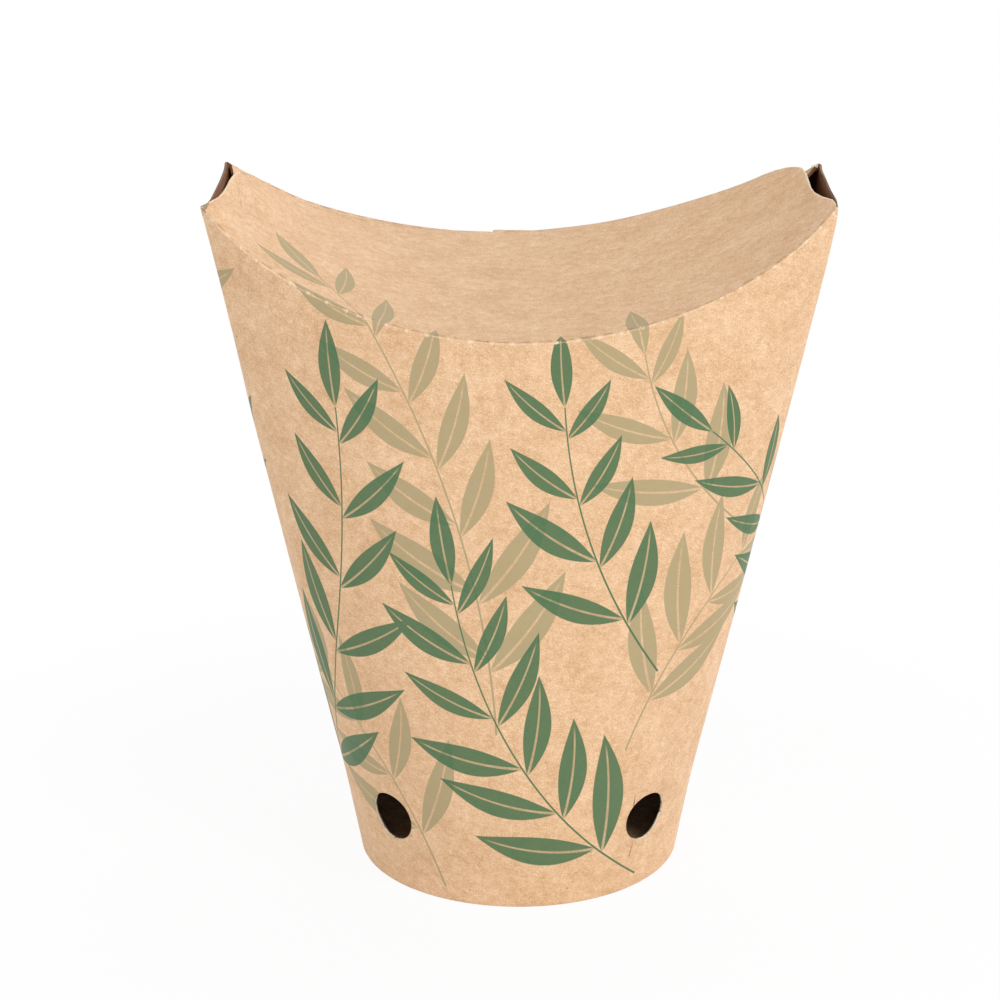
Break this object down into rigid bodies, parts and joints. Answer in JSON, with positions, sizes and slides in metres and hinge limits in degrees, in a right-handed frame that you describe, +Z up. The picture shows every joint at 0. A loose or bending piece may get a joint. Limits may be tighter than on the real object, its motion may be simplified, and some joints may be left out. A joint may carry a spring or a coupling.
{
  "type": "paper fry cup",
  "caption": "Folded kraft paperboard scoop cup on a round pressed base, closed by a front and a back flap over curved creases, with round steam vents above the foot.",
  "frame": {"origin": "centre of the overall box at the plane on which the cup stands", "axes": "+Z up along the cup, -Y towards the printed front whose flap closes last, X along the wide mouth"},
  "size_m": [0.1128, 0.0668, 0.1301],
  "materials": {
    "kraft_board": "matt natural kraft board with a light fibre speckle and a printed sprig pattern in muted green",
    "base_board": "plain matt kraft board with a thin food-safe lining"
  },
  "bodies": {
    "root": {"cup_wall": "kraft_board", "base_disc": "base_board"}
  },
  "joints": []
}
